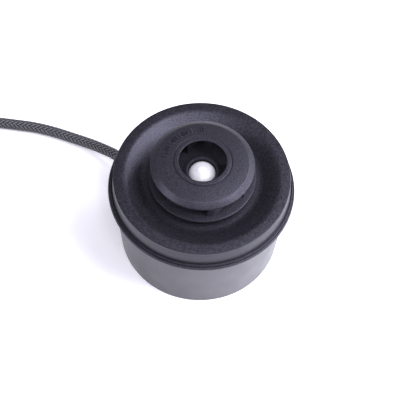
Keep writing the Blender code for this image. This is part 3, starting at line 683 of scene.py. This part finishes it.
def can_outline():
    recess_r = 31.0
    return rounded([
        (0.0, 0.8),
        (recess_r - 0.8, 0.8, 0.3),
        (recess_r, 0.0, 0.3),
        (CAN_WALL_LOW_R, 0.0, 0.45),
        (CAN_WALL_TOP_R, FLANGE_LOW, 0.5),
        (CAN_FLANGE_R, FLANGE_LOW, 0.35),
        (CAN_FLANGE_R, FLANGE_LOW + 0.75, 0.7),
        (CAN_FLANGE_R - 0.55, CAN_TOP_Z - 0.15, 0.3),
        (COVER_FLANGE_R + CLEAR, CAN_TOP_Z - 0.1, 0.15),
        (COVER_FLANGE_R + CLEAR, SEAT_Z),
        (CAN_INNER_R, SEAT_Z, 0.3),
        (CAN_INNER_R, 42.5),
        (CAN_WALL_LOW_R - 2.4, CAN_FLOOR_Z + 0.8, 0.8),
        (CAN_WALL_LOW_R - 3.2, CAN_FLOOR_Z, 0.4),
        (0.0, CAN_FLOOR_Z),
    ])


def make_can():
    """The can with board bosses on its floor, pockets for the screws and the hole for the gland."""
    can = turned("can_shell", can_outline(), "can_satin")
    bosses = []
    boss = [(0.0, 2.5), (3.0, 2.5), (3.0, 7.3), (1.4, 7.3), (1.4, 3.7), (0.0, 3.4)]
    for azimuth in BOARD_BOSS_AZIMUTHS:
        tool = turned("boss_tool", boss, "can_satin", 24)
        shift(tool, polar(BOARD_BOSS_CIRCLE_R, azimuth))
        bosses.append(tool)
    combine(can, bosses, "UNION")
    head = SCREW_HEAD_R + CLEAR
    bore = SCREW_R + CLEAR
    pocket = rounded([
        (0.0, -1.0),
        (head + 0.3, -1.0),
        (head + 0.3, 0.0),
        (head, 0.3),
        (head, 1.6),
        (bore, 1.6),
        (bore, 4.0),
        (0.0, 4.0),
    ])
    cuts = []
    for azimuth in post_azimuths():
        tool = turned("pocket_tool", pocket, "can_satin", 32)
        shift(tool, polar(POST_CIRCLE_R, azimuth))
        cuts.append(tool)
    hole = turned("gland_hole_tool", [(0.0, 36.0), (4.5, 36.0), (4.5, 54.0), (0.0, 54.0)], "can_satin", 32)
    lay_out(hole, LEAD_AZIMUTH, LEAD_Z)
    combine(can, cuts + [hole], "DIFFERENCE")
    flange_from = CAN_WALL_TOP_R + 0.4
    zone(can, "flange_spark", lambda radius, height: radius > flange_from and height > FLANGE_LOW + 0.1)
    return settle(can, "housing", "can_satin", "motor_can")


def make_screws():
    low, high = SCREW_HEAD_Z
    outline = rounded([
        (0.0, low),
        (SCREW_HEAD_R, low, 0.35),
        (SCREW_HEAD_R, high, 0.1),
        (SCREW_R, high, 0.15),
        (SCREW_R, 14.0, 0.2),
        (0.0, 15.2),
    ])
    screw = turned("screw_pattern", outline, "steel", 48)
    socket = [tuple(polar(1.25, 60.0 * corner).xy) for corner in range(6)]
    recess = upright("socket_tool", socket, low - 0.5, low + 0.75, "steel")
    combine(screw, [recess], "DIFFERENCE")
    for index, azimuth in enumerate(post_azimuths(), start=1):
        mesh = screw.data.copy()
        piece = add_piece(f"cover_screw_{index}", mesh)
        piece.data.transform(Matrix.Translation(polar(POST_CIRCLE_R, azimuth) * MM)
                             @ Matrix.Rotation(math.radians(azimuth * 3.0), 4, "Z"))
        settle(piece, "housing", "steel", f"base_screw_{index}")
    bpy.data.objects.remove(screw)


# ---------------------------------------------------------------- impeller


def vane_line(share):
    """Radius and azimuth of a vane's middle line, from its inner to its outer end."""
    inner, outer = VANE_R
    rise = outer - inner + 0.6
    return inner + rise * (1.2 * share - 0.2 * share * share), VANE_SWEEP * (1.0 - share)


def underside_z(radius):
    """Height of the shroud's underside: a shallow cone that turns up towards the eye."""
    return SHROUD_LOW + (SHROUD_R - radius) * 0.13 + max(0.0, THROAT_R - radius) * 0.45


def vane_outline(tip_azimuth):
    """Both faces of a vane, with a round nose at the eye and a square tip on the wheel's circle."""
    steps = 24
    sides = ([], [])
    for step in range(steps + 1):
        share = step / steps
        here = [vane_line(min(1.0, max(0.0, share + change))) for change in (-0.01, 0.0, 0.01)]
        before, at, after = [polar(radius, tip_azimuth + azimuth) for radius, azimuth in here]
        across = (after - before).normalized().cross(Vector((0.0, 0.0, 1.0)))
        nose = min(1.0, math.sqrt(max(0.0, share * 14.0 + 0.08)))
        for side, sign in zip(sides, (1.0, -1.0)):
            edge = at + across * sign * VANE_THICK * nose / 2.0
            side.append(edge * min(1.0, VANE_R[1] / edge.length))
    return sides[0] + sides[1][::-1]


def make_vane(index):
    outline = vane_outline(VANE_TIP_AZIMUTH + 360.0 * index / VANES)
    low = [(point.x, point.y, DISC_TOP - 1.0) for point in outline]
    high = [(point.x, point.y, underside_z(point.xy.length) - CLEAR) for point in outline]
    return layered("vane_tool", [low, high], "impeller_black")


def make_wheel():
    bore = 4.5
    disc = rounded([
        (bore, 54.6),
        (8.06, 54.6, 0.3),
        (8.96, 57.0, 0.5),
        (DISC_R, 57.0, 0.5),
        (DISC_R, DISC_TOP, 0.3),
        (VANE_R[1], DISC_TOP + 0.05, 4.0),
        (14.0, 59.3, 6.0),
        (10.4, 60.5, 2.5),
        (8.7, 61.7, 0.5),
        (8.06, HUB_TOP, 0.25),
        (CAP_R + CLEAR, HUB_TOP, 0.12),
        (CAP_R + CLEAR, HUB_POCKET_Z),
        (bore, HUB_POCKET_Z),
    ])
    wheel = turned("wheel_disc", disc, "impeller_black")
    combine(wheel, [make_vane(index) for index in range(VANES)], "UNION")
    return settle(wheel, "rotor", "impeller_black", "impeller_wheel")


def make_shroud():
    outline = rounded([
        (SHROUD_EDGE_R, SHROUD_LOW, 0.1),
        (SHROUD_EDGE_R, SHROUD_LOW + 0.92, 0.18),
        (BEVEL_R, BEVEL_Z, 0.5),
        (LIP_R + 0.75, SHROUD_TOP - 0.3, 0.15),
        (LIP_R + 0.45, SHROUD_TOP - 0.66, 0.1),
        (LIP_R + 0.15, SHROUD_TOP - 0.66, 0.1),
        (LIP_R - 0.15, SHROUD_TOP - 0.05, 0.22),
        (EYE_R + 0.7, SHROUD_TOP, 0.5),
        (EYE_R, SHROUD_TOP - 0.02, 0.16),
        (EYE_R, SHROUD_TOP - 0.6, 0.2),
        (EYE_R + 1.2, underside_z(EYE_R + 1.2), 0.8),
        (THROAT_R, underside_z(THROAT_R), 2.0),
        (BEVEL_R, underside_z(BEVEL_R)),
    ])
    shroud = turned("shroud_ring", outline, "impeller_black")
    return settle(shroud, "rotor", "impeller_black", "impeller_shroud")


def shroud_top_z(radius):
    """Height of the cone between the bevel and the eye's lip."""
    inner_r = LIP_R + 0.75
    inner_z = SHROUD_TOP - 0.3
    return BEVEL_Z + (BEVEL_R - radius) * (inner_z - BEVEL_Z) / (BEVEL_R - inner_r)


def raised_bar(name, radius, azimuth, length, width, height=0.6):
    """A plain raised bar with round ends, lengthwise along the radius, on the shroud's cone."""
    half = max(0.0, (length - width) / 2.0)
    rows = []
    sunk = -0.15
    steps = ((0.0, sunk), (0.0, height * 0.45), (width * 0.14, height * 0.85), (width * 0.3, height))
    for inset, lift in steps:
        reach_r = width / 2.0 - inset
        stadium = [(half + x, y) for x, y in arc((0.0, 0.0), reach_r, -90.0, 90.0, 6)]
        stadium += [(-half + x, y) for x, y in arc((0.0, 0.0), reach_r, 90.0, 270.0, 6)]
        row = []
        for x, y in stadium:
            flat = Matrix.Rotation(math.radians(azimuth), 2) @ Vector((radius + x, y))
            row.append((flat.x, flat.y, shroud_top_z(flat.length) + lift))
        rows.append(row)
    return layered(name, rows, "impeller_black", 60.0)


def join(name, pieces):
    """Several separate solids as one piece."""
    bm = bmesh.new()
    for piece in pieces:
        bm.from_mesh(piece.data)
    finish = pieces[0].data.materials[0]
    for piece in pieces:
        bpy.data.objects.remove(piece)
    mesh = bpy.data.meshes.new(name)
    bm.to_mesh(mesh)
    bm.free()
    mesh.materials.append(finish)
    return add_piece(name, mesh)


def make_shroud_marks():
    """Plain pips and bars where a moulded code would be."""
    bars = []
    middle = 18.9
    first, last, count = 175.0, 110.0, 11
    for index in range(count):
        azimuth = first + (last - first) * index / (count - 1)
        if index % 3 == 0:
            bars.append(raised_bar("bar", middle, azimuth, 3.0, 0.8))
        elif index % 3 == 1:
            for offset in (-1.0, 1.0):
                bars.append(raised_bar("pip", middle + offset, azimuth, 1.05, 1.05))
        else:
            for side in (-1.6, 1.6):
                bars.append(raised_bar("bar", middle, azimuth + side, 2.5, 0.6))
    for side in (-1.8, 1.8):
        bars.append(raised_bar("bar", middle + 0.2, 93.0 + side, 2.6, 0.6))
    marks = join("shroud_marks", bars)
    return settle(marks, "rotor", "impeller_black")


def make_cap():
    """A thin dome down in the hub's pocket, with a slight raised button in its middle."""
    wall = 0.9
    rise = CAP_TOP - CAP_EQUATOR
    outline = [(CAP_R - wall, CAP_LOW), (CAP_R, CAP_LOW)]
    steps = 40
    for step in range(steps + 1):
        angle = math.pi / 2.0 * step / steps
        radius = CAP_R * math.cos(angle)
        button = CAP_BUTTON_RISE / (1.0 + math.exp((radius - CAP_BUTTON_R) / 0.2))
        outline.append((radius, CAP_EQUATOR + (rise - CAP_BUTTON_RISE) * math.sin(angle) + button))
    outline[-1] = (0.0, CAP_TOP)
    for step in reversed(range(12)):
        angle = math.pi / 2.0 * step / 12
        outline.append(((CAP_R - wall) * math.cos(angle), CAP_EQUATOR + (rise - wall) * math.sin(angle)))
    outline.insert(steps + 3, (0.0, CAP_TOP - wall))
    cap = turned("cap_dome", outline, "nose_white", 96)
    return settle(cap, "rotor", "nose_white", "nose_cap")


# ---------------------------------------------------------------- lead


def catmull_rom(a, b, c, d, t):
    """The centripetal curve between b and c."""
    times = [0.0]
    for start, end in ((a, b), (b, c), (c, d)):
        times.append(times[-1] + math.sqrt((end - start).length))
    at = times[1] + (times[2] - times[1]) * t

    def mix(start, end, first, last):
        return start.lerp(end, (at - times[first]) / (times[last] - times[first]))

    first = mix(a, b, 0, 1)
    middle = mix(b, c, 1, 2)
    last = mix(c, d, 2, 3)
    return mix(mix(first, middle, 0, 2), mix(middle, last, 1, 3), 1, 2)


def coil_point(azimuth):
    radius = COIL_START_R - COIL_STEP * (azimuth - COIL_AZIMUTHS[0]) / 360.0
    return Vector((*COIL_CENTRE, LEAD_R)) + polar(radius, azimuth)


def tail_point(azimuth):
    return Vector((*TAIL_CENTRE, LEAD_R)) + polar(TAIL_R, azimuth)


def lead_knots():
    """The whole route in millimetres: into view, round the coil, and to the connector."""
    knots = [Vector(point) / MM for point in LEAD_ROUTE]
    start, end = COIL_AZIMUTHS
    turns = 48
    knots += [coil_point(start + (end - start) * step / turns) for step in range(turns + 1)]
    start, end = TAIL_AZIMUTHS
    steps = 14
    knots += [tail_point(start + (end - start) * step / steps) for step in range(1, steps + 1)]
    heading = polar(1.0, end + 90.0)
    knots.append(knots[-1] + heading * TAIL_STRAIGHT)
    return knots


def even_path(knots, spacing):
    """Points spaced evenly on a smooth curve through the knots, in millimetres."""
    padded = [knots[0] * 2 - knots[1], *knots, knots[-1] * 2 - knots[-2]]
    fine = [knots[0]]
    for index in range(1, len(padded) - 2):
        a, b, c, d = padded[index - 1 : index + 3]
        steps = max(2, round((c - b).length / 0.5))
        fine += [catmull_rom(a, b, c, d, step / steps) for step in range(1, steps + 1)]
    points = np.array([list(point) for point in fine])
    along = np.concatenate([[0.0], np.cumsum(np.linalg.norm(np.diff(points, axis=0), axis=1))])
    count = int(along[-1] / spacing) + 1
    where = np.linspace(0.0, along[-1], count)
    return np.stack([np.interp(where, along, points[:, axis]) for axis in range(3)], axis=1), along[-1]


def frames_along(points):
    """Two unit vectors across the path at each point, with no twist."""
    ahead = np.gradient(points, axis=0)
    ahead /= np.linalg.norm(ahead, axis=1)[:, None]
    side = np.cross(ahead, [0.0, 0.0, 1.0])
    side /= np.linalg.norm(side, axis=1)[:, None]
    return side, np.cross(side, ahead)


def strand_mesh(verts, faces, centres, across, outward, width, thick, sides=6):
    """Adds one filament or core with an oval section and closed ends."""
    base = sum(len(block) for block in verts)
    angles = np.arange(sides) * math.tau / sides
    ring = (
        centres[:, None, :]
        + across[:, None, :] * (np.cos(angles) * width / 2.0)[None, :, None]
        + outward[:, None, :] * (np.sin(angles) * thick / 2.0)[None, :, None]
    )
    verts.append(ring.reshape(-1, 3))
    rows = np.arange(len(centres) - 1)[:, None] * sides + base
    here = np.arange(sides)[None, :]
    after = (here + 1) % sides
    quads = np.stack([rows + here, rows + after, rows + sides + after, rows + sides + here], axis=2)
    faces.extend(quads.reshape(-1, 4).tolist())
    last = base + (len(centres) - 1) * sides
    faces.append([base + side for side in reversed(range(sides))])
    faces.append([last + side for side in range(sides)])


def make_lead():
    """A braid of flat yarns, two over and two under, each of three filaments, over a dark core."""
    knots = lead_knots()
    inside = polar(GLAND_RHO[1] - 1.0, LEAD_AZIMUTH, LEAD_Z)
    points, length = even_path([inside, *knots], 0.9)
    side, up = frames_along(points)
    along = np.linspace(0.0, length, len(points))
    verts = []
    faces = []
    shades = []
    strand_mesh(verts, faces, points, side, up, 2 * CORE_R, 2 * CORE_R, sides=20)
    shades += [0] * len(faces)
    crossing = along * 2.0 * CARRIERS / BRAID_PITCH
    slant = math.atan2(math.tau * LEAD_R, BRAID_PITCH)
    spacing = BRAID_PITCH / CARRIERS * math.sin(slant)
    width = spacing / FILAMENTS * 0.98
    # The middle filament of every yarn is the pale one: a tracer that also stands for the braid's glints, a
    # painted highlight.
    tracer_and_glint = 1
    for way in (1.0, -1.0):
        for carrier in range(CARRIERS):
            turn = math.tau * (carrier / CARRIERS + way * along / BRAID_PITCH)
            over = way * np.cos(math.pi / 2.0 * (2 * carrier + way * crossing - 0.5))
            radius = LEAD_R - YARN_DEPTH + YARN_SWING * over
            outward = side * np.cos(turn)[:, None] + up * np.sin(turn)[:, None]
            tangent = np.gradient(points + outward * radius[:, None], axis=0)
            tangent /= np.linalg.norm(tangent, axis=1)[:, None]
            across = np.cross(tangent, outward)
            across /= np.linalg.norm(across, axis=1)[:, None]
            for filament_index in range(FILAMENTS):
                place = (filament_index - (FILAMENTS - 1) / 2.0) * width
                centres = points + outward * radius[:, None] + across * place
                before = len(faces)
                strand_mesh(verts, faces, centres, across, outward, width * 1.02, FILAMENT_THICK)
                shades += [1 if filament_index == tracer_and_glint else 0] * (len(faces) - before)
    mesh = bpy.data.meshes.new("braided_lead")
    mesh.from_pydata((np.concatenate(verts) * MM).tolist(), [], faces)
    mesh.materials.append(FINISHES["braided_sleeve"])
    mesh.materials.append(tracer_and_glint_strand())
    mesh.polygons.foreach_set("material_index", shades)
    mesh.update()
    lead = add_piece("braided_lead", mesh, angle=70.0)
    settle(lead, "housing", "braided_sleeve", "lead", "lead_coil", "lead_tail")
    return lead, points * MM, length * MM


def make_gland():
    """A rubber grommet in the can's wall that tapers out along the lead, with ribs."""
    wall_r = CAN_WALL_LOW_R + (CAN_WALL_TOP_R - CAN_WALL_LOW_R) * LEAD_Z / FLANGE_LOW
    inner_r = wall_r - 2.9
    start, end = GLAND_RHO
    outline = [
        (0.0, start),
        (4.6, start, 0.2),
        (5.1, start + 0.6, 0.2),
        (5.1, inner_r - 0.4),
        (4.2, inner_r - 0.4),
        (4.2, wall_r + 0.4),
        (6.4, wall_r + 0.4, 0.2),
        (6.6, wall_r + 2.2, 0.6),
        (5.4, wall_r + 3.0, 0.5),
    ]
    ribs = 6
    rib_r = 5.3
    first = wall_r + 3.6
    pitch = (end - 0.6 - first) / ribs
    for rib in range(ribs):
        share = rib / ribs
        outer = rib_r - (rib_r - LEAD_R - 0.75) * share
        rho = first + pitch * rib
        outline += [(outer, rho, 0.15), (outer - 0.05, rho + pitch * 0.55, 0.15)]
        outline += [(outer - 0.62, rho + pitch * 0.62, 0.12), (outer - 0.66, rho + pitch * 0.95, 0.12)]
    outline += [
        (LEAD_R + 0.7, end - 0.5, 0.2),
        (LEAD_R + 0.55, end, 0.15),
        (LEAD_R + 0.06, end, 0.05),
        (LEAD_R + 0.06, end - 1.4),
        (0.0, end - 1.4),
    ]
    gland = turned("ribbed_gland", rounded(outline), "rubber_black", 96)
    lay_out(gland, LEAD_AZIMUTH, LEAD_Z)
    return settle(gland, "housing", "rubber_black", "cable_gland")


def tail_frame():
    """End point and heading of the lead."""
    azimuth = TAIL_AZIMUTHS[1]
    heading = polar(1.0, azimuth + 90.0)
    return tail_point(azimuth) + heading * TAIL_STRAIGHT, heading


def make_collar():
    """Shrunk tubing over the sleeve's end, drawn in round the braid, with a rolled edge."""
    outer = LEAD_R + 0.35
    outline = [(0.0, 0.4), (LEAD_R + 0.1, 0.4), (LEAD_R + 0.12, -0.15, 0.05), (outer, -0.1, 0.2)]
    waves = 7
    for wave in range(1, waves):
        outline.append((outer - (0.10 if wave % 2 else 0.0), COLLAR_LENGTH * wave / waves, 0.6))
    outline += [(outer, COLLAR_LENGTH, 0.3), (0.0, COLLAR_LENGTH)]
    collar = turned("shrunk_collar", rounded(outline), "rubber_black", 64)
    end, heading = tail_frame()
    start = end + heading * CLEAR
    start.z = outer + 0.02
    lay_down = Matrix.Rotation(math.radians(90.0), 4, "Y")
    turn = Matrix.Rotation(math.atan2(heading.y, heading.x), 4, "Z")
    collar.data.transform(Matrix.Translation(start * MM) @ turn @ lay_down)
    return settle(collar, "housing", "rubber_black", "sleeve_collar")


def make_connector():
    """A latched housing with a row of contact slots, finger ribs and a locking lever."""
    size = Vector((15.0, 9.0, 6.9))
    half = size / 2.0
    body_outline = rounded([
        (-half.y, -half.z, 0.6),
        (half.y, -half.z, 0.6),
        (half.y, half.z - 1.0, 0.5),
        (-half.y, half.z - 1.0, 0.5),
    ])
    rows = []
    for x, inset in ((-half.x, 0.25), (-half.x + 0.25, 0.0), (half.x - 0.25, 0.0), (half.x, 0.25)):
        narrow = 1 - inset / half.y
        flat = 1 - inset / half.z
        rows.append([(x, y * narrow, (z + 0.5) * flat - 0.5) for y, z in body_outline])
    body = layered("plug_housing", rows, "connector_nylon")
    slots = []
    for index in range(4):
        y = (index - 1.5) * 1.9
        hole = [(y - 0.55, -1.7), (y + 0.55, -1.7), (y + 0.55, 0.1), (y - 0.55, 0.1)]
        ends = (half.x - 4.0, half.x + 1.0)
        rows = [[(x, a, b) for a, b in hole] for x in ends]
        slots.append(layered("slot_tool", rows, "connector_nylon"))
    for index in range(5):
        x = -half.x + 1.6 + index * 1.1
        for side in (-1.0, 1.0):
            y = side * half.y
            groove = [(x, y - 0.25), (x + 0.5, y - 0.25), (x + 0.5, y + 0.25), (x, y + 0.25)]
            rows = [[(a, b, z) for a, b in groove] for z in (-2.4, 1.4)]
            slots.append(layered("groove_tool", rows, "connector_nylon"))
    combine(body, slots, "DIFFERENCE")
    top = half.z
    lever_side = rounded([
        (-half.x + 2.0, top - 1.3),
        (-half.x + 2.0, top - 0.15, 0.3),
        (-half.x + 5.0, top - 0.05, 0.3),
        (half.x - 5.0, top - 0.55, 0.4),
        (half.x - 4.6, top, 0.2),
        (half.x - 2.6, top - 0.25, 0.2),
        (half.x - 2.6, top - 1.3),
    ])
    rows = [[(x, y, z) for x, z in lever_side] for y in (-1.7, 1.7)]
    lever = layered("latch_tool", rows, "connector_nylon")
    combine(body, [lever], "UNION")
    end, heading = tail_frame()
    middle = end + heading * (2 * CLEAR + COLLAR_LENGTH + half.x)
    middle.z = half.z + 0.02
    body.data.transform(Matrix.Translation(middle * MM)
                        @ Matrix.Rotation(math.atan2(heading.y, heading.x), 4, "Z"))
    return settle(body, "housing", "connector_nylon", "lead_connector")


# ---------------------------------------------------------------- studio


def make_floor():
    half = FLOOR_HALF
    corners = [(-half, -half, 0), (half, -half, 0), (half, half, 0), (-half, half, 0)]
    mesh = bpy.data.meshes.new("studio_floor")
    mesh.from_pydata(corners, [], [(0, 1, 2, 3)])
    look, tree, shader, place = new_finish("studio_paper")
    cloud = noise(tree, place, 60.0, 3.0)
    paper = tint(tree, cloud, (0.885, 0.885, 0.895), (0.905, 0.905, 0.915))
    tree.links.new(paper, shader.inputs["Base Color"])
    tree.links.new(relief(tree, noise(tree, place, 0.6), 0.01), shader.inputs["Normal"])
    shader.inputs["Roughness"].default_value = 0.8
    shader.inputs["Emission Color"].default_value = (0.93, 0.92, 1.0, 1.0)
    shader.inputs["Emission Strength"].default_value = FLOOR_GLOW
    mesh.materials.append(look)
    floor = bpy.data.objects.new("studio_floor", mesh)
    bpy.context.scene.collection.objects.link(floor)


def softbox(name, azimuth, elevation, distance, size, radiance):
    """An area light that faces the object; its power follows from its radiance."""
    light = bpy.data.lights.new(name, "AREA")
    light.shape = "RECTANGLE"
    light.size, light.size_y = size
    light.energy = radiance * math.pi * size[0] * size[1]
    light.color = SOFTBOX_COLOUR
    holder = bpy.data.objects.new(name, light)
    level = math.cos(math.radians(elevation))
    away = Vector((
        level * math.cos(math.radians(azimuth)),
        level * math.sin(math.radians(azimuth)),
        math.sin(math.radians(elevation)),
    ))
    holder.location = away * distance + Vector((0.0, 0.0, AIM_HEIGHT))
    holder.rotation_euler = away.to_track_quat("Z", "Y").to_euler()
    bpy.context.scene.collection.objects.link(holder)


def make_world():
    world = bpy.data.worlds.new("studio")
    world.use_nodes = True
    background = world.node_tree.nodes["Background"]
    background.inputs["Color"].default_value = (*WORLD_COLOUR, 1.0)
    background.inputs["Strength"].default_value = WORLD_STRENGTH
    bpy.context.scene.world = world


def make_camera():
    camera = bpy.data.cameras.new("camera")
    camera.lens = CAMERA_LENS
    camera.shift_x = CAMERA_SHIFT_X
    camera.sensor_width = 36.0
    camera.clip_start = 0.01
    holder = bpy.data.objects.new("camera", camera)
    holder.location = CAMERA_PLACE
    holder.rotation_euler = [math.radians(angle) for angle in CAMERA_ANGLES]
    bpy.context.scene.collection.objects.link(holder)
    bpy.context.scene.camera = holder


# ---------------------------------------------------------------- build


def dress_frame():
    """Each CAD node that stays takes the finish of its own slot."""
    slots = {part["node"]: part["material_slot"] for part in frame["record"]["subparts"]}
    for name, node in frame["nodes"].items():
        finish = FINISHES[slots[name]]
        if node.data.materials:
            for index in range(len(node.data.materials)):
                node.data.materials[index] = finish
        else:
            node.data.materials.append(finish)


def build():
    make_camera()
    lead, path, length = make_lead()
    gland = make_gland()
    collar = make_collar()
    connector = make_connector()
    dress_frame()
    make_cover()
    make_can()
    make_screws()
    make_wheel()
    make_shroud()
    make_shroud_marks()
    make_cap()
    make_floor()
    for lamp in SOFTBOXES:
        softbox(*lamp)
    make_world()
    bpy.context.scene.view_settings.view_transform = "Standard"


build()
